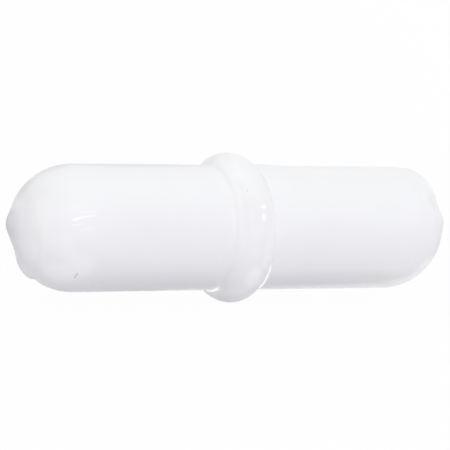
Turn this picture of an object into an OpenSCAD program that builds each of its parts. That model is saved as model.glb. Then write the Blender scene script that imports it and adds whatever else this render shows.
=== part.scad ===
// Magnetic stir bar with a pivot ring.
// A rod magnet is sealed in one seamless fluoropolymer moulding: a round barrel with
// domed ends, a blunt point on each end and a rounded ring around the middle.
// X runs along the bar, Z is up in use, and the origin is at the middle of the barrel.
// The left end is at -X and the right end at +X.

/* [Barrel] */
// Diameter of the barrel
barrel_d = 8; // [6:0.1:14]
// Length of the bar over its two domes, without the points
body_len = 30; // [22:0.5:80]

/* [Pivot ring] */
// How far the ring's crest stands above the barrel
ring_rise = 0.8; // [0.3:0.05:1.4]
// Radius of the ring's rounded section
ring_section_r = 1.6; // [1.5:0.05:3]
// Radius of the blend between the ring and the barrel
ring_blend_r = 0.4; // [0.1:0.05:1]
// How far the ring lies to the right of the bar's middle
ring_shift = -0.24; // [-0.5:0.02:0.5]

/* [Left point] */
// Half of the angle at the left point's tip
left_half_angle = 61.5; // [58:0.5:66]
// Radius of the left point's nose
left_nose_r = 1.2; // [0.4:0.1:1.6]
// How far the left point lies above the axis
left_lift = 0.25; // [0:0.05:0.4]
// How deep the left point's trimmed flank goes into the dome
left_cut = 0.06; // [0.04:0.01:0.15]

/* [Right point] */
// Half of the angle at the right point's tip
right_half_angle = 56.5; // [54:0.5:62]
// Radius of the right point's nose
right_nose_r = 0.7; // [0.4:0.1:1.6]
// How far the right point lies above the axis
right_lift = 0.4; // [0:0.05:0.5]

/* [Right shoulder] */
// Radius of the full shoulder's rounded section
shoulder_r = 1.5; // [1.3:0.1:1.9]
// How far the shoulder's own axis lies above the bar's
shoulder_lift = 0.32; // [0:0.02:0.4]
// How far the shoulder's top lies below the barrel's
shoulder_sink = 0.08; // [0.04:0.02:0.2]
// How far the shoulder's centre lies outward of the dome's
shoulder_reach = 1.46; // [0:0.02:1.6]

/* [Flash lip] */
// How far the lip under the left point stands off the dome
lip_rise = 0.14; // [0.05:0.01:0.25]
// Radius of the lip's rounded section
lip_section_r = 0.6; // [0.4:0.1:0.8]
// Angle between the axis and the lip's crest, seen from the dome's centre
lip_latitude = 47; // [42:1:60]
// Where the crest is round the bar, as an angle down from its far side
lip_clock = 76; // [0:2:120]
// How far the lip's own centre lies off the axis: a larger shift makes a shorter lip
lip_shift = 0.8; // [0.3:0.1:0.9]

/* [Magnet] */
// Thickness of the jacket around the magnet
wall = 1.5; // [0.8:0.1:2.2]
// Thickness of the jacket from the magnet's end to the top of the dome
end_wall = 3; // [2.4:0.1:6]
// Chamfer on both rims of the magnet
magnet_chamfer = 0.3; // [0.1:0.05:0.8]
// Gap between the magnet and the jacket all round
magnet_fit = 0.03; // [0.01:0.01:0.1]

/* [Hidden] */

ptfe_colour = [0.95, 0.95, 0.96];
magnet_colour = [0.45, 0.45, 0.47];
$fn = 128;

// Barrel and domes
barrel_r = barrel_d / 2;
dome_x = body_len / 2 - barrel_r;

// Pivot ring: a round bead, part sunk in the barrel, with a fillet on each side
crest_r = barrel_r + ring_rise;
bead_centre_r = crest_r - ring_section_r;
fillet_centre_r = barrel_r + ring_blend_r;
fillet_x = sqrt(pow(ring_section_r + ring_blend_r, 2) - pow(fillet_centre_r - bead_centre_r, 2));

// The trimming cone is long enough to hold the whole bar
trim_len = 1.5 * body_len;
revolve_limit = 2 * trim_len;

// Full shoulder: the circle that its section's centre runs on
shoulder_ring_r = barrel_r - shoulder_sink - shoulder_lift - shoulder_r;

// Flash lip: a bead that comes out of the dome on one side only
lip_reach = barrel_r + lip_rise - lip_section_r;
lip_circle_r = lip_reach * sin(lip_latitude) - lip_shift;

// Magnet and the cavity that it fills
cavity_r = barrel_r - wall;
cavity_len = body_len - 2 * end_wall;
magnet_r = cavity_r - magnet_fit;
magnet_len = cavity_len - 2 * magnet_fit;

// Distance from the dome's centre to the apex of a cone cut into the dome
function apex_reach(half_angle, cut) = (barrel_r - cut) / sin(half_angle);

// Turns a profile drawn with its axis along Y into a solid along X
module revolve_along_x() {
    rotate([0, 90, 0])
        rotate_extrude()
            intersection() {
                translate([0, -revolve_limit])
                    square([revolve_limit, 2 * revolve_limit]);
                children();
            }
}

// Half section of the barrel between the dome centres
module barrel_profile() {
    translate([0, -dome_x])
        square([barrel_r, 2 * dome_x]);
}

// Half section of one dome
module dome_profile() {
    circle(barrel_r);
}

// Half section of the pivot ring with its two fillets
module ring_profile() {
    translate([bead_centre_r, 0])
        circle(ring_section_r);
    for (side = [-1, 1])
        difference() {
            polygon([
                [bead_centre_r, 0],
                [bead_centre_r, side * fillet_x],
                [fillet_centre_r, side * fillet_x]
            ]);
            translate([fillet_centre_r, side * fillet_x])
                circle(ring_blend_r);
        }
}

// Half section of a cone with a rounded nose, its apex at the origin
module cone_profile(half_angle, nose_r, base_r, len) {
    nose_back = nose_r / sin(half_angle);
    polygon([
        [0, -len],
        [base_r, -base_r / tan(half_angle)],
        [nose_r * cos(half_angle), nose_r * sin(half_angle) - nose_back],
        [0, -nose_back]
    ]);
    translate([0, -nose_back])
        circle(nose_r);
}

// A point that touches the right dome all round
module end_point(half_angle, nose_r, lift) {
    reach = apex_reach(half_angle, 0);
    translate([dome_x, 0, 0])
        rotate([0, -asin(lift / reach), 0])
            translate([reach, 0, 0])
                revolve_along_x()
                    cone_profile(half_angle, nose_r, barrel_r * cos(half_angle), reach);
}

// The level cone that the trimmed left end lies within
module left_trimming_cone() {
    reach = apex_reach(left_half_angle, left_cut);
    mirror([1, 0, 0])
        translate([dome_x + sqrt(reach * reach - left_lift * left_lift), 0, left_lift])
            revolve_along_x()
                cone_profile(
                    left_half_angle, left_nose_r, trim_len * tan(left_half_angle), trim_len
                );
}

// The fuller shoulder on top of the right dome
module full_shoulder() {
    translate([dome_x, 0, shoulder_lift])
        revolve_along_x()
            translate([shoulder_ring_r, shoulder_reach])
                circle(shoulder_r);
}

// Flash left low on the left dome by the trimming tool
module flash_lip() {
    translate([
        -dome_x - lip_reach * cos(lip_latitude),
        lip_shift * cos(lip_clock),
        -lip_shift * sin(lip_clock)
    ])
        rotate([0, 90, 0])
            rotate_extrude()
                translate([lip_circle_r, 0])
                    circle(lip_section_r);
}

// Rod magnet, or the cavity for it, with chamfered rims
module rod(r, len) {
    rotate([0, 90, 0])
        rotate_extrude()
            polygon([
                [0, -len / 2],
                [r - magnet_chamfer, -len / 2],
                [r, -len / 2 + magnet_chamfer],
                [r, len / 2 - magnet_chamfer],
                [r - magnet_chamfer, len / 2],
                [0, len / 2]
            ]);
}

// The moulding before its left end is trimmed
module rough_moulding() {
    revolve_along_x() {
        barrel_profile();
        translate([0, dome_x])
            dome_profile();
        translate([0, -dome_x])
            dome_profile();
        translate([0, ring_shift])
            ring_profile();
    }
    full_shoulder();
    end_point(right_half_angle, right_nose_r, right_lift);
    mirror([1, 0, 0])
        end_point(left_half_angle, left_nose_r, left_lift);
}

module ptfe_jacket() {
    color(ptfe_colour)
        difference() {
            union() {
                intersection() {
                    rough_moulding();
                    left_trimming_cone();
                }
                flash_lip();
            }
            rod(cavity_r, cavity_len);
        }
}

module bar_magnet() {
    color(magnet_colour)
        rod(magnet_r, magnet_len);
}

ptfe_jacket();
bar_magnet();
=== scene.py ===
import math

import bpy
import numpy as np
from bpy.props import FloatProperty, FloatVectorProperty, PointerProperty
from bpy.types import Operator, Panel, PropertyGroup
from mathutils import Matrix, Vector


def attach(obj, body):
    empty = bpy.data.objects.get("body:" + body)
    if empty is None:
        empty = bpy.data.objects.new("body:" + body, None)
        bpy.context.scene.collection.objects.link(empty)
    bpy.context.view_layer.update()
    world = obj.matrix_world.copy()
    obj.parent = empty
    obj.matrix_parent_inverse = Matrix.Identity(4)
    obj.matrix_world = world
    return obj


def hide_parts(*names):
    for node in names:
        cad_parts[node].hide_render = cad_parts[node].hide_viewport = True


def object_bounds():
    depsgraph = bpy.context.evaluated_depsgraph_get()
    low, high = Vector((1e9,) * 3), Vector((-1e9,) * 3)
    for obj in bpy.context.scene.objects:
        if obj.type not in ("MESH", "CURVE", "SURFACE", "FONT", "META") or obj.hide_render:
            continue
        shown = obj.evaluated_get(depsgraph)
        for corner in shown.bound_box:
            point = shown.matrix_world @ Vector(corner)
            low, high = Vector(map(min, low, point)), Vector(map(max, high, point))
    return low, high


bl_info = {
    "name": "Magnetic Stir Bar Looks",
    "version": (1, 0, 0),
    "blender": (4, 5, 0),
    "location": "View3D > Sidebar > Stir Bar",
    "description": "Moulded skin, sealed magnet and studio for a magnetic stir bar",
    "category": "Object",
}

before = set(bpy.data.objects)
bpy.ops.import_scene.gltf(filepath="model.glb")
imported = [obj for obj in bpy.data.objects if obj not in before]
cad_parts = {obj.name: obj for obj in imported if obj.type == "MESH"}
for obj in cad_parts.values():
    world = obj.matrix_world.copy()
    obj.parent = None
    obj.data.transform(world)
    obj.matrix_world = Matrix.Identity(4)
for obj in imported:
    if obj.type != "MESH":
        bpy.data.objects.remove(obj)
CAD_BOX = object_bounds()

MM = 0.001

# The floor lies this far under the solid's lowest point, and so just clears the skin's
FLOOR_GAP = 0.01 * MM


# ---------------------------------------------------------------- settings


class StirBarShape(PropertyGroup):
    """Sizes of the moulding, the same as the solid's."""

    barrel_radius: FloatProperty(
        name="Barrel Radius", description="Radius of the straight barrel",
        default=4.0 * MM, unit="LENGTH")
    dome_centre: FloatProperty(
        name="Dome Centre", description="Distance from the middle to each dome's centre",
        default=11.0 * MM, unit="LENGTH")
    ring_rise: FloatProperty(
        name="Ring Rise", description="How far the pivot ring stands above the barrel",
        default=0.8 * MM, unit="LENGTH")
    ring_section: FloatProperty(
        name="Ring Section", description="Radius of the pivot ring's rounded section",
        default=1.6 * MM, unit="LENGTH")
    ring_blend: FloatProperty(
        name="Ring Blend", description="Radius of the blend between ring and barrel",
        default=0.4 * MM, unit="LENGTH")
    ring_shift: FloatProperty(
        name="Ring Shift", description="How far the ring lies to the right of the middle",
        default=-0.24 * MM, unit="LENGTH")
    ring_lean: FloatProperty(
        name="Ring Lean", description="Angle at which the ring's top leans to the left",
        default=math.radians(1.44), subtype="ANGLE")
    left_half_angle: FloatProperty(
        name="Left Half Angle", description="Half of the angle at the left point's tip",
        default=math.radians(61.5), subtype="ANGLE")
    left_nose: FloatProperty(
        name="Left Nose", description="Radius of the left point's nose",
        default=1.2 * MM, unit="LENGTH")
    left_lift: FloatProperty(
        name="Left Lift", description="How far the left point lies above the axis",
        default=0.25 * MM, unit="LENGTH")
    left_cut: FloatProperty(
        name="Left Cut", description="How deep the trimmed flank goes into the left dome",
        default=0.06 * MM, unit="LENGTH")
    right_half_angle: FloatProperty(
        name="Right Half Angle", description="Half of the angle at the right point's tip",
        default=math.radians(56.5), subtype="ANGLE")
    right_nose: FloatProperty(
        name="Right Nose", description="Radius of the right point's nose",
        default=0.7 * MM, unit="LENGTH")
    right_lift: FloatProperty(
        name="Right Lift", description="How far the right point lies above the axis",
        default=0.4 * MM, unit="LENGTH")
    shoulder_radius: FloatProperty(
        name="Shoulder Radius", description="Radius of the right shoulder's rounded section",
        default=1.5 * MM, unit="LENGTH")
    shoulder_lift: FloatProperty(
        name="Shoulder Lift", description="How far the shoulder's own axis lies above the bar's",
        default=0.32 * MM, unit="LENGTH")
    shoulder_sink: FloatProperty(
        name="Shoulder Sink", description="How far the shoulder's top lies below the barrel's",
        default=0.08 * MM, unit="LENGTH")
    shoulder_reach: FloatProperty(
        name="Shoulder Reach", description="How far the shoulder lies outward of the dome's centre",
        default=1.46 * MM, unit="LENGTH")
    lip_rise: FloatProperty(
        name="Lip Rise", description="How far the flash lip stands off the left dome",
        default=0.14 * MM, unit="LENGTH")
    cavity_radius: FloatProperty(
        name="Cavity Radius", description="Radius of the sealed hollow that holds the magnet",
        default=2.5 * MM, unit="LENGTH")
    cavity_length: FloatProperty(
        name="Cavity Length", description="Length of the sealed hollow that holds the magnet",
        default=24.0 * MM, unit="LENGTH")
    cavity_chamfer: FloatProperty(
        name="Cavity Chamfer", description="Chamfer on both rims of the sealed hollow",
        default=0.3 * MM, unit="LENGTH")


class StirBarFinish(PropertyGroup):
    """Colours and gloss of the two materials."""

    skin: FloatVectorProperty(
        name="Skin", description="Colour of the white fluoropolymer",
        default=(0.861, 0.866, 0.883), size=3, subtype="COLOR", min=0.0, max=1.0)
    skin_shade: FloatVectorProperty(
        name="Skin Shade", description="Colour of the skin where it is handled and dull",
        default=(0.80, 0.803, 0.826), size=3, subtype="COLOR", min=0.0, max=1.0)
    # Painted shade: the darker colour taken by the darker patches, the rougher patches and the left
    # end
    painted_shade: FloatVectorProperty(
        name="Soil", description="Colour of the skin where its left end is soiled",
        default=(0.735, 0.73, 0.76), size=3, subtype="COLOR", min=0.0, max=1.0)
    # The lighter colour: painted light, painted highlights and glints, and real hairlines and
    # smudges
    highlight_and_scuff: FloatVectorProperty(
        name="Scuff", description="Colour of scuffs and of the ring's finished edges",
        default=(0.98, 0.98, 0.985), size=3, subtype="COLOR", min=0.0, max=1.0)
    dirt: FloatVectorProperty(
        name="Dirt", description="Colour of the dirt in nicks",
        default=(0.03, 0.03, 0.035), size=3, subtype="COLOR", min=0.0, max=1.0)
    skin_roughness: FloatProperty(
        name="Skin Roughness", description="Roughness of the smooth skin",
        default=0.31, subtype="FACTOR", min=0.0, max=1.0)
    alloy: FloatVectorProperty(
        name="Alloy", description="Colour of the magnet's ground alloy",
        default=(0.36, 0.36, 0.38), size=3, subtype="COLOR", min=0.0, max=1.0)


class StirBarStage(PropertyGroup):
    """Studio, lamps and camera."""

    floor: FloatVectorProperty(
        name="Floor", description="Colour of the floor",
        default=(0.6, 0.588, 0.622), size=3, subtype="COLOR", min=0.0, max=1.0)
    floor_light: FloatProperty(
        name="Floor Light", description="Strength of the soft light that comes through the floor",
        default=0.155, min=0.0)
    floor_light_right: FloatProperty(
        name="Floor Light Right", description="How much stronger that light is on the right",
        default=0.21, min=0.0)
    floor_glow: FloatProperty(
        name="Floor Glow", description="Share of plain white in what the camera sees of the floor",
        default=0.97, subtype="FACTOR", min=0.0, max=1.0)
    world_strength: FloatProperty(
        name="World Strength", description="Strength of the even light from all round",
        default=0.285, min=0.0)
    world_top: FloatProperty(
        name="World Top", description="Strength of the broad soft light from overhead",
        default=0.68, min=0.0)
    world_back: FloatProperty(
        name="World Back", description="Strength of the broad soft light from behind, to the right",
        default=0.14, min=0.0)
    key_power: FloatProperty(
        name="Key Power", description="Power of the large soft lamp in front",
        default=0.92, min=0.0)
    top_power: FloatProperty(
        name="Top Power", description="Power of the soft lamp overhead",
        default=0.1, min=0.0)
    side_power: FloatProperty(
        name="Side Power", description="Power of the soft lamp behind, to the right",
        default=0.1, min=0.0)
    strip_power: FloatProperty(
        name="Strip Power", description="Power of the long narrow lamp over the camera",
        default=0.03, min=0.0)
    camera_place: FloatVectorProperty(
        name="Camera Place", description="Where the camera stands",
        default=(-70.153 * MM, -143.870 * MM, 22.629 * MM), size=3, subtype="TRANSLATION")
    camera_aim: FloatVectorProperty(
        name="Camera Aim", description="Point at the middle of the picture",
        default=(-0.349 * MM, 0.189 * MM, 0.131 * MM), size=3, subtype="TRANSLATION")
    camera_roll: FloatProperty(
        name="Camera Roll", description="Turn of the camera about its own line of sight",
        default=math.radians(3.76), subtype="ANGLE")
    camera_lens: FloatProperty(
        name="Camera Lens", description="Focal length for a sensor 36 mm wide",
        default=201.64, min=1.0)


# ---------------------------------------------------------------- shapes

# Rays that meet nothing: a distance far outside the bar
NO_HIT = 1.0
# How close two surfaces are where the edge between them begins to round
TRIM_ROUNDING = 0.05 * MM
SHOULDER_ROUNDING = 0.16 * MM

# Flash lip, in degrees: the turn of its middle, how far off that it begins and ends to fade, its
# crest's angle from the tip, and how much that angle grows with each degree off the middle
LIP_TURN = -166.0
LIP_FADE = (16, 44)
LIP_CREST = 49
LIP_SLANT = 0.06
# From the crest, away from the tip: where the lip climbs and breaks off, and where the hollow
# behind it begins and ends. The hollow's depth is a share of the lip's rise.
LIP_CLIMB = (-13, -3)
LIP_BREAK = (0, 2.5)
HOLLOW_START = (0, 3)
HOLLOW_END = (4, 16)
HOLLOW_DEPTH = 0.5

# Swell on top of the barrel, right of the ring: height, distance from the ring's middle and
# reach, and the distance at which it has its full strength
SWELL_RISE = 0.07 * MM
SWELL_MIDDLE = 2.3 * MM
SWELL_REACH = 1.0 * MM
SWELL_START = 1.2 * MM
# Distances from the ring's middle between which its lean fades out
LEAN_FADE = (2.5 * MM, 6.0 * MM)

# Points round the skin and round its hollow, and rows along the hollow
SKIN_ROUND = 232
HOLLOW_ROUND = 96
HOLLOW_ROWS = 14
# Rows on each dome, in degrees from its tip: from, to and step
DOME_ROWS = ((0.5, 6, 0.5), (6, 40, 1.0), (40, 60, 0.5), (60, 90, 1.0))
# Rows on the barrel: steps near the ring, beside it and beyond, and how far the first two reach
BARREL_STEPS = (0.05 * MM, 0.1 * MM, 0.25 * MM)
BARREL_REACHES = (2 * MM, 4 * MM)


def smooth_max(a, b, reach):
    """The larger of two arrays, rounded where they are closer than reach:
    the larger plus reach / 4 times the square of (1 - difference / reach)."""
    near = np.clip(1 - np.abs(a - b) / reach, 0, None)
    return np.maximum(a, b) + 0.25 * reach * near * near


def smooth_min(a, b, reach):
    """The smaller of two arrays, rounded in the same way."""
    return -smooth_max(-a, -b, reach)


def smooth_step(low, high, x):
    """0 below low, 1 above high, and 3 t^2 - 2 t^3 of the way t between them."""
    t = np.clip((x - low) / (high - low), 0, 1)
    return t * t * (3 - 2 * t)


def ray_to_ball(ray, centre, radius):
    """Distance along each unit ray from the origin to the far side of a ball that holds it:
    the ray's share of the centre plus the root of that share squared, less the centre's
    own square, plus the radius squared. Rays that miss the ball give 0."""
    along = ray @ centre
    inside = along * along - centre @ centre + radius * radius
    return np.where(inside > 0, along + np.sqrt(np.clip(inside, 0, None)), 0)


def ray_to_cone(ray, apex, axis, half_angle, nose):
    """Distance along each unit ray from the origin, which lies inside, to a cone whose nose
    is a ball that touches it. The flank is where a point's step back from the apex along
    the axis is its distance from the apex times the cosine of the half angle, which is a
    quadratic in the distance. The nose takes over where the ball's far side lies beyond
    the circle of touch."""
    c2 = math.cos(half_angle) ** 2
    ra, aa, ar = ray @ axis, apex @ axis, ray @ apex
    a = ra * ra - c2
    b = ra * aa - ar * c2
    c = aa * aa - (apex @ apex) * c2
    root = np.sqrt(np.clip(b * b - a * c, 0, None))
    near_zero = np.abs(a) < 1e-9
    a_safe = np.where(near_zero, 1, a)
    t1, t2 = (b - root) / a_safe, (b + root) / a_safe
    t3 = c / np.where(np.abs(b) < 1e-12, 1, 2 * b)
    ok1 = (t1 > 0) & ((t1 * ra - aa) < 0) & ~near_zero
    ok2 = (t2 > 0) & ((t2 * ra - aa) < 0) & ~near_zero
    flank = np.minimum(np.where(ok1, t1, NO_HIT), np.where(ok2, t2, NO_HIT))
    flank = np.where(near_zero & (t3 > 0), t3, flank)
    centre = apex - axis * nose / math.sin(half_angle)
    ball = ray_to_ball(ray, centre, nose)
    touch = centre @ axis + nose * math.sin(half_angle)
    return np.where((ball > 0) & (ball * ra > touch), ball, flank)


def ray_to_ring(ray, centre, ring_radius, section):
    """Distance along each unit ray to a round ring about the X direction: from outside,
    the ray is followed inward by its distance to the ring's surface until that is nothing.
    Rays that miss the ring end at 0."""
    outside = 1.6 * (ring_radius + section + abs(centre[0]))
    steps = 60
    t = np.full(ray.shape[:-1], outside)
    for _ in range(steps):
        p = ray * t[..., None] - centre
        gap = np.hypot(p[..., 0], np.hypot(p[..., 1], p[..., 2]) - ring_radius) - section
        t = np.clip(t - gap, 0, None)
    return np.where(np.abs(gap) < 1e-6, t, 0)


def end_rays(polar, turn, side):
    """Unit rays from a dome's centre: cosine of the polar angle outward along the bar, and
    its sine shared between Y and Z by the angle of turn from the top."""
    polar, turn = polar[:, None], turn[None, :]
    return np.stack(np.broadcast_arrays(
        side * np.cos(polar), -np.sin(polar) * np.sin(turn), np.sin(polar) * np.cos(turn)), -1)


def left_end(s, polar, turn):
    """Left end: the dome and the cone that touches it, whichever is farther out, cut by the
    level trimming cone, whichever is nearer, plus the flash lip."""
    ray = end_rays(polar, turn, -1)
    r = s.barrel_radius
    reach = r / math.sin(s.left_half_angle)
    lean = math.asin(s.left_lift / reach)
    axis = np.array([-math.cos(lean), 0, math.sin(lean)])
    point = ray_to_cone(ray, axis * reach, axis, s.left_half_angle, s.left_nose)
    touching = ray @ axis > math.cos(math.pi / 2 - s.left_half_angle)
    out = np.where(touching, point, r)
    reach = (r - s.left_cut) / math.sin(s.left_half_angle)
    apex = np.array([-math.sqrt(reach ** 2 - s.left_lift ** 2), 0, s.left_lift])
    trim = ray_to_cone(ray, apex, np.array([-1.0, 0, 0]), s.left_half_angle, s.left_nose)
    out = smooth_min(out, trim, TRIM_ROUNDING)
    out = out + flash_lip(s, ray)
    return ray * out[..., None] + np.array([-s.dome_centre, 0, 0])


def flash_lip(s, ray):
    """Flash lip: a ridge across the underside of the left end. It climbs slowly away from
    the tip, breaks off short at its crest, and leaves the dome a little hollow behind it:
    each a product of smooth steps in the angle past the crest. It fades out to both sides
    of its middle."""
    polar = np.degrees(np.arccos(np.clip(-ray[..., 0], -1, 1)))
    turn = np.degrees(np.arctan2(-ray[..., 1], ray[..., 2]))
    off = np.abs((turn - LIP_TURN + 180) % 360 - 180)
    width = 1 - smooth_step(*LIP_FADE, off)
    crest = LIP_CREST + LIP_SLANT * off
    past = polar - crest
    climb = smooth_step(*LIP_CLIMB, past) * (1 - smooth_step(*LIP_BREAK, past))
    hollow = smooth_step(*HOLLOW_START, past) * (1 - smooth_step(*HOLLOW_END, past))
    return width * (s.lip_rise * climb - HOLLOW_DEPTH * s.lip_rise * hollow)


def right_end(s, polar, turn):
    """Right end: the dome and the cone that touches it, joined to the full shoulder, which
    is a round ring about a line above the bar's axis."""
    ray = end_rays(polar, turn, 1)
    r = s.barrel_radius
    reach = r / math.sin(s.right_half_angle)
    lean = math.asin(s.right_lift / reach)
    axis = np.array([math.cos(lean), 0, math.sin(lean)])
    point = ray_to_cone(ray, axis * reach, axis, s.right_half_angle, s.right_nose)
    touching = ray @ axis > math.cos(math.pi / 2 - s.right_half_angle)
    out = np.where(touching, point, r)
    ring = r - s.shoulder_sink - s.shoulder_lift - s.shoulder_radius
    shoulder = ray_to_ring(ray, np.array([s.shoulder_reach, 0, s.shoulder_lift]),
                           ring, s.shoulder_radius)
    wall = r / np.clip(np.sqrt(1 - ray[..., 0] ** 2), 1e-6, None)
    shoulder = np.minimum(np.maximum(shoulder, shoulder_slope(s, ray, ring)), wall)
    out = smooth_max(out, shoulder, SHOULDER_ROUNDING)
    return ray * np.minimum(out, wall)[..., None] + np.array([s.dome_centre, 0, 0])


def shoulder_slope(s, ray, ring):
    """Distance along each ray to the straight slope from the barrel's end to the top of the
    shoulder's ring: barrel radius over (sine + fall of the slope times cosine) of the polar
    angle. The ring's top lies at a radius that changes round the bar as a circle about a
    line above the axis does. Beyond the ring's top it is 0."""
    r, top = s.barrel_radius, ring + s.shoulder_radius
    sine = np.clip(np.hypot(ray[..., 1], ray[..., 2]), 1e-6, None)
    up, aside = ray[..., 2] / sine, ray[..., 1] / sine
    far = s.shoulder_lift * up + np.sqrt(top ** 2 - (s.shoulder_lift * aside) ** 2)
    out = r / (sine + (r - far) / s.shoulder_reach * ray[..., 0])
    return np.where(out * ray[..., 0] < s.shoulder_reach, out, 0)


def ring_radius(s, x):
    """Radius of the barrel and its pivot ring at distance x from the ring's middle: the
    round bead, a hollow blend that touches bead and barrel, and the barrel."""
    crest = s.barrel_radius + s.ring_rise
    bead_r, blend_r = s.ring_section, s.ring_blend
    bead_c, blend_c = crest - bead_r, s.barrel_radius + blend_r
    blend_x = math.sqrt((bead_r + blend_r) ** 2 - (blend_c - bead_c) ** 2)
    meet = blend_x * bead_r / (bead_r + blend_r)
    x = np.abs(x)
    bead = bead_c + np.sqrt(np.clip(bead_r ** 2 - x ** 2, 0, None))
    blend = blend_c - np.sqrt(np.clip(blend_r ** 2 - (blend_x - x) ** 2, 0, None))
    return np.where(x < meet, bead, np.where(x < blend_x, blend, s.barrel_radius))


def barrel(s, x, turn):
    """Barrel: circles along the bar whose radius follows the ring's profile. Near the ring
    each circle's points move along the bar by their height times the tangent of the ring's
    lean. The barrel swells a little on top to the right of the ring: e to the minus square
    of (distance from the swell's middle / its reach), times (1 + cosine of the turn) / 2."""
    x, turn = x[:, None], turn[None, :]
    along = x - s.ring_shift
    radius = ring_radius(s, along) + 0 * turn
    swell = SWELL_RISE * np.exp(-((along - SWELL_MIDDLE) / SWELL_REACH) ** 2)
    radius = radius + swell * (0.5 + 0.5 * np.cos(turn)) * smooth_step(0, SWELL_START, along)
    near = 1 - smooth_step(*LEAN_FADE, np.abs(along))
    shifted = x - math.tan(s.ring_lean) * radius * np.cos(turn) * near
    return np.stack([shifted, -radius * np.sin(turn), radius * np.cos(turn)], -1)


def cavity(s, turn):
    """Rows and poles of the sealed hollow: circles along the bar whose radius grows in a
    straight line over the chamfer at each end."""
    r, h, k = s.cavity_radius, s.cavity_length / 2, s.cavity_chamfer
    wall = np.linspace(-h + k, h - k, HOLLOW_ROWS)[1:-1]
    profile = np.array([(-h, (r - k) * 0.5), (-h, r - k), (-h + k, r)] + [(x, r) for x in wall]
                       + [(h - k, r), (h, r - k), (h, (r - k) * 0.5)])
    x, radius = profile[:, :1], profile[:, 1:]
    rows = np.stack([x + 0 * turn, -radius * np.sin(turn), radius * np.cos(turn)], -1)
    return rows, np.array([-h, 0, 0]), np.array([h, 0, 0])


def closed_skin(rows, left_pole, right_pole):
    """Vertices and faces of a closed skin: rings of points from left to right joined by
    quads, and a fan of triangles from the pole at each end. Faces look outward."""
    n, m = rows.shape[:2]
    verts = np.concatenate([rows.reshape(-1, 3), left_pole[None], right_pole[None]])
    i, j = np.meshgrid(np.arange(n - 1), np.arange(m), indexing="ij")
    k = (j + 1) % m
    quads = np.stack([i * m + j, i * m + k, (i + 1) * m + k, (i + 1) * m + j], -1).reshape(-1, 4)
    j, k = np.arange(m), (np.arange(m) + 1) % m
    left = np.stack([np.full(m, n * m), k, j], -1)
    right = np.stack([np.full(m, n * m + 1), (n - 1) * m + j, (n - 1) * m + k], -1)
    return verts, quads, np.concatenate([left, right])


def make_mesh(name, verts, quads, tris):
    """A smooth mesh object from arrays of vertices, quads and triangles."""
    mesh = bpy.data.meshes.new(name)
    mesh.vertices.add(len(verts))
    mesh.vertices.foreach_set("co", verts.astype(np.float32).ravel())
    loops = np.concatenate([quads.ravel(), tris.ravel()])
    starts = np.concatenate([np.arange(len(quads)) * 4,
                             len(quads) * 4 + np.arange(len(tris)) * 3])
    totals = np.concatenate([np.full(len(quads), 4), np.full(len(tris), 3)])
    mesh.loops.add(len(loops))
    mesh.loops.foreach_set("vertex_index", loops.astype(np.int32))
    mesh.polygons.add(len(starts))
    mesh.polygons.foreach_set("loop_start", starts.astype(np.int32))
    mesh.polygons.foreach_set("loop_total", totals.astype(np.int32))
    mesh.update(calc_edges=True)
    mesh.validate()
    mesh.polygons.foreach_set("use_smooth", np.ones(len(mesh.polygons), bool))
    obj = bpy.data.objects.new(name, mesh)
    bpy.context.scene.collection.objects.link(obj)
    return obj


def spaced(stretches):
    """Places of rows: stretches (from, to, step) one after the other, each cut evenly into
    the nearest whole number of steps."""
    parts = [np.linspace(a, b, max(2, int(round((b - a) / step)) + 1))[:-1]
             for a, b, step in stretches]
    return np.concatenate(parts + [np.array([stretches[-1][1]])])


def circle(count):
    """Angles of evenly spaced points round a full turn."""
    return np.linspace(0, 2 * np.pi, count, endpoint=False)


# ---------------------------------------------------------------- materials

# How steeply a mark falls off to its sides: first one along a line, with the rounding of its
# edge, then one round the bar, with the angle over which its ends fade
LINE_FALL, LINE_ROUNDING = 2.0, 0.3
ROUND_FALL, ROUND_FADE = 2.5, 0.15
# Share of a patch's reach that has its full strength
PATCH_CORE = 0.3


def set_inputs(tree, node, inputs):
    """Sets a node's inputs, named or numbered: a socket is linked, a plain value is put in,
    and None leaves the input alone."""
    for name, value in inputs.items():
        if isinstance(value, bpy.types.NodeSocket):
            tree.links.new(value, node.inputs[name])
        elif value is not None:
            node.inputs[name].default_value = value


def add_node(tree, kind, inputs, **settings):
    """A node of a kind, with its settings and its inputs."""
    node = tree.nodes.new(kind)
    for name, value in settings.items():
        setattr(node, name, value)
    set_inputs(tree, node, inputs)
    return node


def new_material(name):
    """An empty material with a shader and an output; returns material, tree and shader."""
    mat = bpy.data.materials.new(name)
    mat.use_nodes = True
    tree = mat.node_tree
    tree.nodes.clear()
    shader = add_node(tree, "ShaderNodeBsdfPrincipled", {})
    add_node(tree, "ShaderNodeOutputMaterial", {"Surface": shader.outputs["BSDF"]})
    return mat, tree, shader


def object_place(tree):
    """Places on the piece, in Object coordinates."""
    return add_node(tree, "ShaderNodeTexCoord", {}).outputs["Object"]


def math_node(tree, operation, a, b=None, c=None, clamp=False):
    """A Math node whose inputs are sockets or plain numbers; returns its output."""
    return add_node(tree, "ShaderNodeMath", {0: a, 1: b, 2: c},
                    operation=operation, use_clamp=clamp).outputs[0]


def vector_node(tree, operation, a, b=None):
    """A Vector Math node whose inputs are sockets or plain vectors; returns its output, which
    is a number for a dot product or a length and a vector for the rest."""
    node = add_node(tree, "ShaderNodeVectorMath", {0: a, 1: b}, operation=operation)
    return node.outputs["Value" if operation in ("DOT_PRODUCT", "LENGTH") else "Vector"]


def mix_colours(tree, factor, a, b):
    """A colour mix; a and b are sockets or plain colours, for the node's inputs 6 and 7."""
    a, b = (v if isinstance(v, bpy.types.NodeSocket) else (*v, 1.0) for v in (a, b))
    return add_node(tree, "ShaderNodeMix", {"Factor": factor, 6: a, 7: b},
                    data_type="RGBA").outputs[2]


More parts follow.
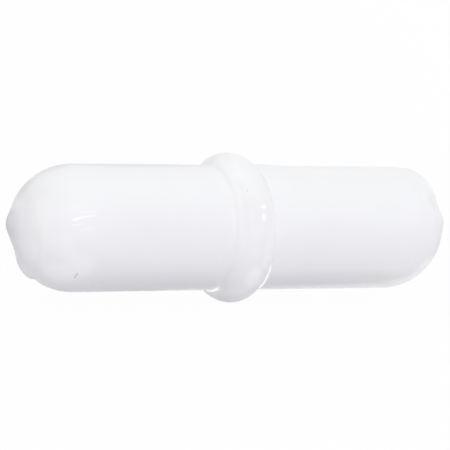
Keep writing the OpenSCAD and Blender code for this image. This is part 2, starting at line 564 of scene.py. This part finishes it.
def noise(tree, where, scale, detail=2.0, roughness=0.5):
    """A Noise texture at the given scale on a vector; returns its value."""
    return add_node(tree, "ShaderNodeTexNoise", {
        "Vector": where, "Scale": scale, "Detail": detail, "Roughness": roughness}).outputs["Fac"]


def ramp(tree, value, low, high):
    """0 below low, 1 above high, and a smooth step between them."""
    return add_node(tree, "ShaderNodeMapRange", {"Value": value, "From Min": low, "From Max": high},
                    interpolation_type="SMOOTHSTEP").outputs["Result"]


def bump(tree, height, strength, distance):
    """A Bump node on a height; returns its normal."""
    return add_node(tree, "ShaderNodeBump", {
        "Height": height, "Strength": strength, "Distance": distance}).outputs["Normal"]


def times(tree, mask, weight):
    """A mask times a number or another mask."""
    return math_node(tree, "MULTIPLY", mask, weight)


def add_up(tree, start, *pairs, clamp=False):
    """A start plus the sum of masks times their weights."""
    total = start
    for mask, weight in pairs:
        total = math_node(tree, "MULTIPLY_ADD", mask, weight, total, clamp)
    return total


def strongest(tree, masks):
    """The largest of several masks."""
    most = masks[0]
    for mask in masks[1:]:
        most = math_node(tree, "MAXIMUM", most, mask)
    return most


def mask_group(name, points, numbers, build):
    """The node group of this name, made by build when it is first asked for. It takes points
    and numbers by name and gives one mask."""
    group = bpy.data.node_groups.get(name)
    if group is None:
        group = bpy.data.node_groups.new(name, "ShaderNodeTree")
        for labels, kind in ((points, "NodeSocketVector"), (numbers, "NodeSocketFloat")):
            for label in labels:
                group.interface.new_socket(label, in_out="INPUT", socket_type=kind)
        group.interface.new_socket("Mask", in_out="OUTPUT", socket_type="NodeSocketFloat")
        mask = build(group, add_node(group, "NodeGroupInput", {}).outputs)
        add_node(group, "NodeGroupOutput", {"Mask": mask})
    return group


def place_mask(tree, group, inputs):
    """A mask's node group placed in a material with its own inputs; returns the mask."""
    return add_node(tree, "ShaderNodeGroup", inputs, node_tree=group).outputs["Mask"]


def line_mask(tree, given):
    """1 on the straight line between two points, falling smoothly to 0 at the mark's width,
    which wavers with a fine noise."""
    place = given["Place"]
    line = vector_node(tree, "SUBTRACT", given["To"], given["From"])
    step = vector_node(tree, "SUBTRACT", place, given["From"])
    along = math_node(tree, "DIVIDE", vector_node(tree, "DOT_PRODUCT", step, line),
                      vector_node(tree, "DOT_PRODUCT", line, line), clamp=True)
    nearest = add_node(tree, "ShaderNodeVectorMath", {0: line, "Scale": along}, operation="SCALE")
    off = vector_node(tree, "SUBTRACT", step, nearest.outputs["Vector"])
    grain = math_node(tree, "SUBTRACT", noise(tree, place, given["Grain"]), 0.5)
    waver = math_node(tree, "ADD", times(tree, grain, given["Waver"]), 1.0)
    share = math_node(tree, "DIVIDE", vector_node(tree, "LENGTH", off),
                      times(tree, given["Width"], waver))
    fall = math_node(tree, "SUBTRACT", 1.0, share, clamp=True)
    return math_node(tree, "SMOOTH_MIN", times(tree, fall, LINE_FALL), 1.0, LINE_ROUNDING)


def marks(tree, place, waver, grain, lines):
    """The strongest of several marks along lines, each a start, an end and a width in
    millimetres."""
    group = mask_group("Mark Along A Line", ("Place", "From", "To"), ("Width", "Waver", "Grain"),
                       line_mask)
    return strongest(tree, [place_mask(tree, group, {
        "Place": place, "From": [v * MM for v in start], "To": [v * MM for v in end],
        "Width": width * MM, "Waver": waver, "Grain": grain}) for start, end, width in lines])


def round_mask(tree, given):
    """1 on a line round the bar, whose place along the bar moves with the angle of turn by
    the slant, falling to 0 at the mark's width and towards both ends of its range of turn.
    The turn is 0 on top and a quarter turn in front."""
    axes = add_node(tree, "ShaderNodeSeparateXYZ", {0: given["Place"]}).outputs
    turn = math_node(tree, "ARCTAN2", times(tree, axes["Y"], -1.0), axes["Z"])
    past = math_node(tree, "SUBTRACT", turn, given["From"])
    left = math_node(tree, "SUBTRACT", given["To"], turn)
    middle = math_node(tree, "MULTIPLY_ADD", past, given["Slant"], given["Along"])
    off = math_node(tree, "ABSOLUTE", math_node(tree, "SUBTRACT", axes["X"], middle))
    fall = math_node(tree, "SUBTRACT", 1.0, math_node(tree, "DIVIDE", off, given["Width"]))
    fall = math_node(tree, "MULTIPLY", fall, ROUND_FALL, clamp=True)
    ends = [ramp(tree, rest, 0.0, ROUND_FADE) for rest in (past, left)]
    return times(tree, fall, math_node(tree, "MINIMUM", *ends))


def round_mark(tree, place, along, slant, width, start, end):
    """A mark round the bar: its place, slant per degree and width in millimetres, and its
    range of turn in degrees."""
    group = mask_group("Mark Round The Bar", ("Place",),
                       ("Along", "Slant", "Width", "From", "To"), round_mask)
    return place_mask(tree, group, {
        "Place": place, "Along": along * MM, "Slant": math.degrees(slant * MM),
        "Width": width * MM, "From": math.radians(start), "To": math.radians(end)})


def patch_mask(tree, given):
    """1 around a middle, falling smoothly to 0 at the patch's reach along each axis."""
    off = vector_node(tree, "SUBTRACT", given["Place"], given["Middle"])
    share = vector_node(tree, "LENGTH", vector_node(tree, "DIVIDE", off, given["Reach"]))
    return math_node(tree, "SUBTRACT", 1.0, ramp(tree, share, PATCH_CORE, 1.0))


def patches(tree, place, table):
    """The sum, held to 1, of soft patches: middle, reach in millimetres, and weight of each."""
    group = mask_group("Soft Patch", ("Place", "Middle", "Reach"), (), patch_mask)
    return add_up(tree, 0.0, *((place_mask(tree, group, {
        "Place": place, "Middle": [v * MM for v in middle], "Reach": [v * MM for v in reach]}),
        weight) for middle, reach, weight in table), clamp=True)


def ring_flanks(tree, place, shape):
    """Mask of painted light on the ring: 1 along the foot of the ring on its left, all round but
    fading out underneath, and a stronger band along its right flank in front and behind. The
    distance along the bar is taken from the ring's own leaning middle."""
    x, y, z = add_node(tree, "ShaderNodeSeparateXYZ", {0: place}).outputs
    along = math_node(tree, "SUBTRACT", math_node(
        tree, "MULTIPLY_ADD", z, math.tan(shape.ring_lean), x), shape.ring_shift)
    bands = []
    for middle in FLANK_MIDDLES:
        off = math_node(tree, "ABSOLUTE", math_node(tree, "SUBTRACT", along, middle))
        bands.append(math_node(tree, "SUBTRACT", 1.0, ramp(tree, off, 0.0, FLANK_REACH)))
    left = times(tree, bands[0], ramp(tree, z, *FLANK_FADE_UNDER))
    aside = ramp(tree, math_node(tree, "ABSOLUTE", y), *FLANK_FADE_ASIDE)
    return strongest(tree, [left, times(tree, times(tree, bands[1], aside), RIGHT_FLANK)])


# Noises on the skin: scale, detail and roughness of each
CLOUDS = (260.0, 3.0, 0.55)
RIPPLE = (900.0, 2.0, 0.5)
SPECKLE = (3500.0, 2.0, 0.5)
# Values of the last between which the smudges' speckles come up
SPECKLE_RANGE = (0.4, 0.7)

# Marks along lines: how much their width wavers, the scale of that noise, and each line's start,
# end and width in millimetres
NICKS = (0.9, 6000.0, (
    ((-11.83, -2.88, -2.66), (-11.77, -3.17, -2.32), 0.06),
))
SPECKS = (0.4, 6000.0, (
    ((-0.83, -3.70, 2.88), (-0.80, -3.66, 2.93), 0.05),
))
# Hairlines; the third to fifth are painted highlight lines beside the streak on the left dome
HAIR_AND_HIGHLIGHT_LINES = (0.8, 4000.0, (
    ((-4.60, -0.60, 3.95), (-5.45, -2.55, 3.08), 0.05),
    ((-2.50, -3.82, -1.20), (-2.35, -3.60, -1.75), 0.05),
    ((-11.99, -3.57, 1.50), (-11.05, -3.67, 1.58), 0.07),
    ((-12.50, -3.64, 0.71), (-11.91, -3.80, 0.83), 0.07),
    ((-12.04, -3.83, 0.47), (-11.24, -3.95, 0.61), 0.07),
    ((-11.86, -2.76, -2.72), (-11.74, -3.24, -2.24), 0.16),
))
# Painted highlight: a bright streak across the left dome
HIGHLIGHT_STREAK = (0.5, 3000.0, (
    ((-12.40, -3.58, 1.05), (-11.77, -3.72, 1.25), 0.1),
    ((-11.77, -3.72, 1.25), (-11.09, -3.76, 1.34), 0.075),
))
SMUDGES = (0.4, 1500.0, (
    ((-12.9, -2.9, -2.0), (-11.6, -3.45, -1.8), 0.6),
    ((-14.66, -1.1, -1.2), (-14.3, -1.9, -1.2), 0.5),
))
# Lines along the underside's rim: a lighter colour, which is painted light, with a clear gloss
RIM_LIGHT_LINES = (0.3, 700.0, (
    ((1.6, -0.55, -3.96), (10.3, -1.0, -3.87), 1.6),
    ((10.3, -1.0, -3.87), (11.6, -1.9, -3.5), 1.4),
    ((11.6, -1.7, -3.6), (13.0, -2.6, -2.2), 1.0),
    ((-4.2, -0.5, -3.97), (-1.8, -0.6, -3.95), 1.4),
))

# Painted glints at the ring's foot: a lighter colour with a metal-like gloss that mirrors the
# floor. Along, slant per degree, width, and turn from and to
FOOT_GLINTS = (
    (1.18, 0.0065, 0.14, 112, 164),
    (-1.56, 0.0, 0.14, 147, 190),
)
# Painted light: lighter bands on the ring's flanks where its left crease and right flank lie in
# shade. Their distance from its middle and
# Their reach, the heights and the distances aside between which they fade, and how much stronger
# the right one is
FLANK_MIDDLES = (-1.15 * MM, 1.2 * MM)
FLANK_REACH = 0.45 * MM
FLANK_FADE_UNDER = (-3.2 * MM, 1.2 * MM)
FLANK_FADE_ASIDE = (3.0 * MM, 4.2 * MM)
RIGHT_FLANK = 1.9

# Soft patches: middle and reach in millimetres, and weight. First the rougher ones, darkened with
# painted shade, on top of the left half, then the painted shade on the left end.
ROUGH_AND_SHADED = (
    ((-6.9, 0.25, 4.0), (7.5, 1.35, 1.6), 1.0),
    ((-12.4, 0.3, 3.6), (1.8, 1.1, 1.3), 0.6),
    ((-14.0, 0.5, 2.5), (1.1, 1.0, 1.3), 0.8),
    ((-15.3, 0.0, 0.3), (0.7, 0.9, 1.5), 0.8),
)
# Painted shade on the left end
SHADED_END = (
    ((-14.85, 1.3, -0.8), (1.4, 2.5, 2.8), 0.8),
    ((-14.1, 1.5, -2.3), (1.0, 1.4, 1.4), 0.5),
)
# Painted light: lighter patches where the skin would lie in shade, of which the last two are
# painted highlights on the ring's crest
LIGHT_PATCHES = (
    ((-14.4, -1.6, -1.3), (1.3, 1.5, 1.4), 0.35),
    ((-12.9, -2.5, -2.4), (1.8, 1.2, 1.2), 0.5),
    ((-11.7, -3.4, -1.8), (1.5, 1.0, 1.3), 0.33),
    ((-12.9, -3.3, -0.6), (1.3, 1.0, 1.3), 0.2),
    ((-13.9, -2.2, 0.4), (1.2, 1.6, 2.6), 0.25),
    ((-13.6, -0.5, 3.0), (1.5, 1.5, 1.2), 0.15),
    ((-1.6, -1.3, -3.8), (0.8, 1.5, 0.9), 0.8),
    ((-0.6, -1.9, -4.1), (2.0, 2.6, 1.5), 0.62),
    ((-0.15, -3.9, -2.6), (0.8, 1.0, 1.5), 0.65),
    ((-0.9, -0.8, 4.6), (1.4, 1.8, 1.0), 0.2),
    ((-1.15, -2.2, 4.0), (0.7, 1.6, 1.2), 0.25),
    ((0.55, -4.45, -0.8), (0.6, 0.7, 2.3), 0.5),
    ((7.0, -0.6, 3.95), (8.0, 1.8, 1.0), 0.2),
    ((0.06, -4.34, 1.98), (0.28, 0.3, 0.19), 0.95),
    ((0.03, -4.58, 1.38), (0.19, 0.3, 0.4), 0.75),
)
# Painted shade: darker patches
DARK_PATCHES = (
    ((-15.2, -0.2, 0.2), (0.9, 1.4, 1.7), 0.75),
    ((-14.6, -1.2, 0.2), (1.3, 1.6, 2.2), 0.1),
    ((-12.2, -3.6, 0.9), (1.2, 1.0, 1.0), 0.15),
    ((-6.0, -3.8, 1.0), (7.0, 1.2, 2.2), 0.12),
    ((-6.0, -2.6, -3.0), (7.0, 1.6, 1.6), 0.15),
    ((-0.85, -4.4, 1.5), (0.9, 1.2, 1.8), 0.3),
    ((6.8, -3.9, -0.8), (8.0, 1.2, 2.6), 0.15),
    ((6.5, -2.7, -2.9), (8.0, 1.2, 1.1), 0.4),
    ((13.1, -2.8, 2.3), (0.7, 1.0, 1.0), 0.3),
    ((14.2, -2.3, -0.4), (1.2, 1.7, 2.0), 0.55),
)

# How strongly each mark takes its colour: dirt, the lighter colour, or painted shade. The lighter
# colour is painted light on the flanks and the underside's rim, a painted highlight in the streak
# and partly in the thin lines, and real in the smudges
NICK_DIRT, SPECK_DIRT = 0.3, 0.25
HAIR_AND_HIGHLIGHT_WEIGHT, SMUDGE_LIGHT, STREAK_LIGHT = 0.22, 0.2, 0.5
FLANK_LIGHT, RIM_LIGHT, DULL_SHADE = 0.4, 0.7, 0.5
# The clouds show in the colour above this value, times this weight
CLOUD_LOW, CLOUD_SHADE = 0.42, 0.6
# What each mark adds to the roughness
CLOUD_ROUGH, SMUDGE_ROUGH, DULL_ROUGH, FOOT_ROUGH = 0.06, 0.12, 0.4, -0.15
# What each mark adds to the height, as a share of the bump's distance
CLOUD_RISE, RIPPLE_RISE, NICK_RISE, LIGHT_RISE = 0.5, 0.15, -1.5, 0.3
# How metallic the painted glints at the ring's foot are, and how much clear gloss the lines of
# painted light along the underside have
FOOT_METAL, POLISH_COAT = 0.9, 0.6
# Strength and distance of the bump
SKIN_BUMP = (0.35, 0.02 * MM)


def skin_material(shape, finish):
    """White fluoropolymer: faint clouds in colour and gloss, a fine unevenness, soft patches of
    painted light and painted shade, painted shade on the left end, rougher patches with painted
    shade, and lines of painted light with a clear gloss along the underside. On top of those lie a
    dirty nick, a speck, hairlines and painted highlight lines, a painted highlight streak, speckled
    smudges, and painted glints at the ring's foot, whose metal-like gloss mirrors the light floor."""
    mat, tree, shader = new_material("white_fluoropolymer")
    place = object_place(tree)
    clouds, ripple, speckle = (noise(tree, place, *n) for n in (CLOUDS, RIPPLE, SPECKLE))
    nick, speck, hair_and_highlight, highlight_and_scuff, smudge, rim_lines = (marks(tree, place, *m) for m in (
        NICKS, SPECKS, HAIR_AND_HIGHLIGHT_LINES, HIGHLIGHT_STREAK, SMUDGES, RIM_LIGHT_LINES))
    smudge = times(tree, smudge, ramp(tree, speckle, *SPECKLE_RANGE))
    rim_light_and_gloss = ramp(tree, rim_lines, 0.0, 1.0)
    foot = strongest(tree, [round_mark(tree, place, *edge) for edge in FOOT_GLINTS])
    rough_and_shaded, shaded_end, lit, shaded = (patches(tree, place, table) for table in (
        ROUGH_AND_SHADED, SHADED_END, LIGHT_PATCHES, DARK_PATCHES))

    cloudy = math_node(tree, "MULTIPLY", math_node(tree, "SUBTRACT", clouds, CLOUD_LOW),
                       CLOUD_SHADE, clamp=True)
    colour = mix_colours(tree, cloudy, finish.skin, finish.skin_shade)
    # Painted shade: the darker patches, the rougher patches and the left end take the darker colour
    shade = strongest(tree, [shaded_end, add_up(tree, shaded, (rough_and_shaded, DULL_SHADE))])
    colour = mix_colours(tree, shade, colour, finish.painted_shade)
    # Painted light: the lighter patches, the bands on the ring's flanks and the lines along the
    # underside's rim
    bright = add_up(tree, lit, (ring_flanks(tree, place, shape), FLANK_LIGHT))
    bright = strongest(tree, [bright, times(tree, rim_light_and_gloss, RIM_LIGHT)])
    colour = mix_colours(tree, bright, colour, finish.highlight_and_scuff)
    # Hairlines and smudges, and the painted highlight streak, highlight lines and glints at the
    # ring's foot
    light = strongest(tree, [times(tree, hair_and_highlight, HAIR_AND_HIGHLIGHT_WEIGHT), times(tree, smudge, SMUDGE_LIGHT),
                             times(tree, highlight_and_scuff, STREAK_LIGHT), foot])
    colour = mix_colours(tree, light, colour, finish.highlight_and_scuff)
    dirt = add_up(tree, 0.0, (nick, NICK_DIRT), (speck, SPECK_DIRT))
    colour = mix_colours(tree, dirt, colour, finish.dirt)

    rough = add_up(tree, finish.skin_roughness - 0.5 * CLOUD_ROUGH, (clouds, CLOUD_ROUGH),
                   (smudge, SMUDGE_ROUGH), (rough_and_shaded, DULL_ROUGH), (foot, FOOT_ROUGH))
    height = add_up(tree, 0.0, (clouds, CLOUD_RISE), (ripple, RIPPLE_RISE), (nick, NICK_RISE),
                    (light, LIGHT_RISE))
    set_inputs(tree, shader, {
        "Base Color": colour,
        "Roughness": rough,
        "Normal": bump(tree, height, *SKIN_BUMP),
        "Metallic": times(tree, foot, FOOT_METAL),
        "Coat Weight": times(tree, rim_light_and_gloss, POLISH_COAT),
        "Coat Roughness": 0.12,
        "Coat IOR": 1.6,
        "IOR": 1.36,
        "Subsurface Weight": 0.12,
        "Subsurface Radius": (1.0, 0.95, 0.9),
        "Subsurface Scale": 0.6 * MM,
    })
    return mat


# Noises on the magnet: scale, detail and roughness of each, and how much the first is squeezed
# along the rod, which makes its lines
GRINDING = (900.0, 3.0, 0.6)
GRINDING_SQUEEZE = 12.0
ALLOY_SPOTS = (350.0, 3.0, 0.6)
# The spots' darkest shade, as a share of the alloy's colour, and how strongly they show
SPOT_SHADE, SPOT_WEIGHT = 0.7, 0.8
# Roughness of the alloy, and what the lines add to it
ALLOY_ROUGHNESS, GRINDING_ROUGH = 0.28, 0.2
# Strength and distance of the bump
ALLOY_BUMP = (0.5, 0.01 * MM)


def magnet_material(finish):
    """Ground alloy: fine grinding lines round the rod, and duller spots."""
    mat, tree, shader = new_material("ground_alloy")
    place = object_place(tree)
    squeezed = add_node(tree, "ShaderNodeMapping", {
        "Vector": place, "Scale": (GRINDING_SQUEEZE, 1.0, 1.0)}).outputs["Vector"]
    lines = noise(tree, squeezed, *GRINDING)
    spots = noise(tree, place, *ALLOY_SPOTS)
    shade = tuple(SPOT_SHADE * v for v in finish.alloy)
    set_inputs(tree, shader, {
        "Base Color": mix_colours(tree, times(tree, spots, SPOT_WEIGHT), finish.alloy, shade),
        "Roughness": add_up(tree, ALLOY_ROUGHNESS, (lines, GRINDING_ROUGH)),
        "Normal": bump(tree, lines, *ALLOY_BUMP),
        "Metallic": 1.0,
    })
    return mat


# ---------------------------------------------------------------- studio

FLOOR_RADIUS = 3.0
FLOOR_ROUND = 96
# The floor's grain: scale, detail and roughness, its darkest shade, and how strongly it shows
FLOOR_GRAIN = (40.0, 3.0, 0.5)
GRAIN_SHADE, GRAIN_WEIGHT = 0.97, 0.5
# How far to the camera's right the floor's extra light reaches its full strength
LIGHT_REACH = 50 * MM
# Lamps: degrees right of the camera and above it with the distance from the bar, then width and
# height. The top lamp hangs straight over the bar.
KEY_PLACE, KEY_SIZE = (8, 12, 0.5), (0.36, 0.44)
SIDE_PLACE, SIDE_SIZE = (135, 4, 0.5), (0.3, 0.3)
STRIP_PLACE, STRIP_SIZE = (22, 10, 0.45), (0.34, 0.03)
TOP_PLACE, TOP_SIZE = (0, 0, 0.5), (0.3, 0.3)
# Direction of the world's light from behind, in the same way
BACK_LIGHT = (150, 0, 1.0)


def seen_from(stage, right, up, far):
    """A place at a distance from the middle, turned right and up from the camera's own."""
    x, y, z = stage.camera_place
    turn = math.atan2(x, -y) + math.radians(right)
    rise = math.atan2(z, math.hypot(x, y)) + math.radians(up)
    return (far * math.cos(rise) * math.sin(turn), -far * math.cos(rise) * math.cos(turn),
            far * math.sin(rise))


def seen_rays(tree):
    """1 for a ray from the camera, a mirror or a clear surface, and 0 for any other."""
    rays = add_node(tree, "ShaderNodeLightPath", {}).outputs
    return strongest(tree, [rays["Is Camera Ray"], rays["Is Glossy Ray"],
                            rays["Is Transmission Ray"]])


def lobe(tree, way, towards):
    """1 in one direction, falling off as the square of (1 + cosine) / 2 to 0 opposite it."""
    share = vector_node(tree, "DOT_PRODUCT", way, towards)
    return math_node(tree, "POWER", add_up(tree, 0.5, (share, 0.5)), 2.0)


def floor_material(stage):
    """Matt floor with a faint grain, lit from below: white to the camera, and a soft light to
    the bar, stronger on the right."""
    mat, tree, shader = new_material("studio_floor")
    place = object_place(tree)
    shade = tuple(GRAIN_SHADE * v for v in stage.floor)
    grain = times(tree, noise(tree, place, *FLOOR_GRAIN), GRAIN_WEIGHT)
    set_inputs(tree, shader, {"Base Color": mix_colours(tree, grain, stage.floor, shade),
                              "Roughness": 0.9, "Specular IOR Level": 0.1})
    right = seen_from(stage, 90, 0, 1.0)
    share = vector_node(tree, "DOT_PRODUCT", place, (right[0], right[1], 0))
    share = math_node(tree, "DIVIDE", share, LIGHT_REACH, clamp=True)
    soft = add_node(tree, "ShaderNodeEmission", {
        "Strength": add_up(tree, stage.floor_light, (share, stage.floor_light_right))})
    both = add_node(tree, "ShaderNodeAddShader", {
        0: shader.outputs["BSDF"], 1: soft.outputs["Emission"]})
    glow = add_node(tree, "ShaderNodeEmission", {"Color": (1, 1, 1, 1)})
    mix = add_node(tree, "ShaderNodeMixShader", {
        "Fac": times(tree, seen_rays(tree), stage.floor_glow),
        1: both.outputs["Shader"], 2: glow.outputs["Emission"]})
    out = next(node for node in tree.nodes if node.type == "OUTPUT_MATERIAL")
    set_inputs(tree, out, {"Surface": mix.outputs["Shader"]})
    return mat


def build_floor(stage):
    """A level disc just under the ring's lowest point: a fan of triangles round its middle."""
    n = FLOOR_ROUND
    low = float(CAD_BOX[0][2]) - FLOOR_GAP
    angle = circle(n)
    rim = np.stack([FLOOR_RADIUS * np.cos(angle), FLOOR_RADIUS * np.sin(angle),
                    np.full(n, low)], -1)
    verts = np.concatenate([rim, [[0, 0, low]]])
    tris = np.stack([np.arange(n), (np.arange(n) + 1) % n, np.full(n, n)], -1)
    obj = make_mesh("floor", verts, np.zeros((0, 4), int), tris)
    obj.data.materials.append(floor_material(stage))


def build_world(scene, stage):
    """Soft light from all round, with a broad lobe from overhead and one from behind; the
    camera and gloss see plain white."""
    world = bpy.data.worlds.new("studio_world")
    scene.world = world
    world.use_nodes = True
    tree = world.node_tree
    tree.nodes.clear()
    way = add_node(tree, "ShaderNodeTexCoord", {}).outputs["Generated"]
    strength = add_up(tree, stage.world_strength,
                      (lobe(tree, way, (0, 0, 1)), stage.world_top),
                      (lobe(tree, way, seen_from(stage, *BACK_LIGHT)), stage.world_back))
    soft = add_node(tree, "ShaderNodeBackground", {"Color": (1, 1, 1, 1), "Strength": strength})
    white = add_node(tree, "ShaderNodeBackground", {"Color": (1, 1, 1, 1)})
    mix = add_node(tree, "ShaderNodeMixShader", {
        "Fac": seen_rays(tree), 1: soft.outputs["Background"], 2: white.outputs["Background"]})
    add_node(tree, "ShaderNodeOutputWorld", {"Surface": mix.outputs["Shader"]})


def facing(place, aim):
    """The matrix that puts a lamp or camera at a place and turns it towards its aim."""
    place, aim = Vector(place), Vector(aim)
    return Matrix.Translation(place) @ (aim - place).to_track_quat("-Z", "Y").to_matrix().to_4x4()


def build_lamp(name, place, size, power):
    """A rectangular lamp that looks at the middle of the bar and that no camera sees."""
    data = bpy.data.lights.new(name, "AREA")
    data.shape = "RECTANGLE"
    data.size, data.size_y = size
    data.energy = power
    obj = bpy.data.objects.new(name, data)
    bpy.context.scene.collection.objects.link(obj)
    obj.matrix_world = facing(place, (0, 0, 0))
    obj.visible_camera = False


def build_camera(scene, stage):
    """A long lens at its place, looking at its aim, with a small roll."""
    data = bpy.data.cameras.new("camera")
    data.sensor_width = 36.0
    data.lens = stage.camera_lens
    data.clip_start = 0.01
    data.clip_end = 20.0
    obj = bpy.data.objects.new("camera", data)
    scene.collection.objects.link(obj)
    obj.matrix_world = (facing(stage.camera_place, stage.camera_aim)
                        @ Matrix.Rotation(stage.camera_roll, 4, "Z"))
    scene.camera = obj


# ---------------------------------------------------------------- operators


class STIRBAR_OT_jacket(Operator):
    """Build the moulded skin: barrel, ring, points, shoulder, lip and sealed hollow"""

    bl_idname = "stirbar.jacket"
    bl_label = "Moulded Skin"

    def execute(self, context):
        s = context.scene.stirbar_shape
        turn = circle(SKIN_ROUND)
        polar = np.radians(spaced(DOME_ROWS))
        left = left_end(s, polar, turn)
        right = right_end(s, polar, turn)[::-1]
        c, x = s.dome_centre, s.ring_shift
        fine, middle, coarse = BARREL_STEPS
        near, beside = BARREL_REACHES
        along = spaced([(-c, x - beside, coarse), (x - beside, x - near, middle),
                        (x - near, x + near, fine), (x + near, x + beside, middle),
                        (x + beside, c, coarse)])
        rows = np.concatenate([left[:-1], barrel(s, along, turn), right[1:]])
        tip = np.array([1e-6])
        left_pole = left_end(s, tip, turn[:1])[0, 0]
        right_pole = right_end(s, tip, turn[:1])[0, 0]
        verts, quads, tris = closed_skin(rows, left_pole, right_pole)
        hollow_verts, hollow_quads, hollow_tris = closed_skin(*cavity(s, circle(HOLLOW_ROUND)))
        n = len(verts)
        obj = make_mesh("stir_bar_jacket", np.concatenate([verts, hollow_verts]),
                        np.concatenate([quads, hollow_quads[:, ::-1] + n]),
                        np.concatenate([tris, hollow_tris[:, ::-1] + n]))
        obj.data.materials.append(skin_material(s, context.scene.stirbar_finish))
        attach(obj, "root")
        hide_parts("ptfe_jacket")
        return {"FINISHED"}


class STIRBAR_OT_magnet(Operator):
    """Give the sealed rod magnet its ground alloy"""

    bl_idname = "stirbar.magnet"
    bl_label = "Magnet"

    def execute(self, context):
        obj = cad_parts["bar_magnet"]
        mat = magnet_material(context.scene.stirbar_finish)
        if not obj.material_slots:
            obj.data.materials.append(mat)
        for slot in obj.material_slots:
            slot.material = mat
        return {"FINISHED"}


class STIRBAR_OT_stage(Operator):
    """Build the floor, the lamps, the even light and the camera"""

    bl_idname = "stirbar.stage"
    bl_label = "Studio"

    def execute(self, context):
        scene = context.scene
        stage = scene.stirbar_stage
        build_floor(stage)
        build_world(scene, stage)
        build_lamp("key_lamp", seen_from(stage, *KEY_PLACE), KEY_SIZE, stage.key_power)
        build_lamp("top_lamp", TOP_PLACE, TOP_SIZE, stage.top_power)
        build_lamp("side_lamp", seen_from(stage, *SIDE_PLACE), SIDE_SIZE, stage.side_power)
        build_lamp("strip_lamp", seen_from(stage, *STRIP_PLACE), STRIP_SIZE, stage.strip_power)
        build_camera(scene, stage)
        scene.view_settings.view_transform = "Standard"
        return {"FINISHED"}


# ---------------------------------------------------------------- panel and run


class STIRBAR_PT_panel(Panel):
    """The settings and the steps, in the 3D view's sidebar"""

    bl_idname = "STIRBAR_PT_panel"
    bl_label = "Stir Bar"
    bl_space_type = "VIEW_3D"
    bl_region_type = "UI"
    bl_category = "Stir Bar"

    def draw(self, context):
        scene = context.scene
        for label, group in (("Shape", scene.stirbar_shape), ("Finish", scene.stirbar_finish),
                             ("Studio", scene.stirbar_stage)):
            box = self.layout.box()
            box.label(text=label)
            for name in group.bl_rna.properties.keys():
                if name not in ("rna_type", "name"):
                    box.prop(group, name)
        for step in STEPS:
            self.layout.operator(step.bl_idname)


GROUPS = (StirBarShape, StirBarFinish, StirBarStage)
STEPS = (STIRBAR_OT_jacket, STIRBAR_OT_magnet, STIRBAR_OT_stage)


def register():
    """Adds the classes and the settings to Blender."""
    for cls in (*GROUPS, *STEPS, STIRBAR_PT_panel):
        bpy.utils.register_class(cls)
    bpy.types.Scene.stirbar_shape = PointerProperty(type=StirBarShape)
    bpy.types.Scene.stirbar_finish = PointerProperty(type=StirBarFinish)
    bpy.types.Scene.stirbar_stage = PointerProperty(type=StirBarStage)


def unregister():
    """Takes the settings and the classes out again."""
    del bpy.types.Scene.stirbar_stage
    del bpy.types.Scene.stirbar_finish
    del bpy.types.Scene.stirbar_shape
    for cls in reversed((*GROUPS, *STEPS, STIRBAR_PT_panel)):
        bpy.utils.unregister_class(cls)


def main():
    register()
    bpy.ops.stirbar.jacket()
    bpy.ops.stirbar.magnet()
    bpy.ops.stirbar.stage()


if __name__ == "__main__":
    main()
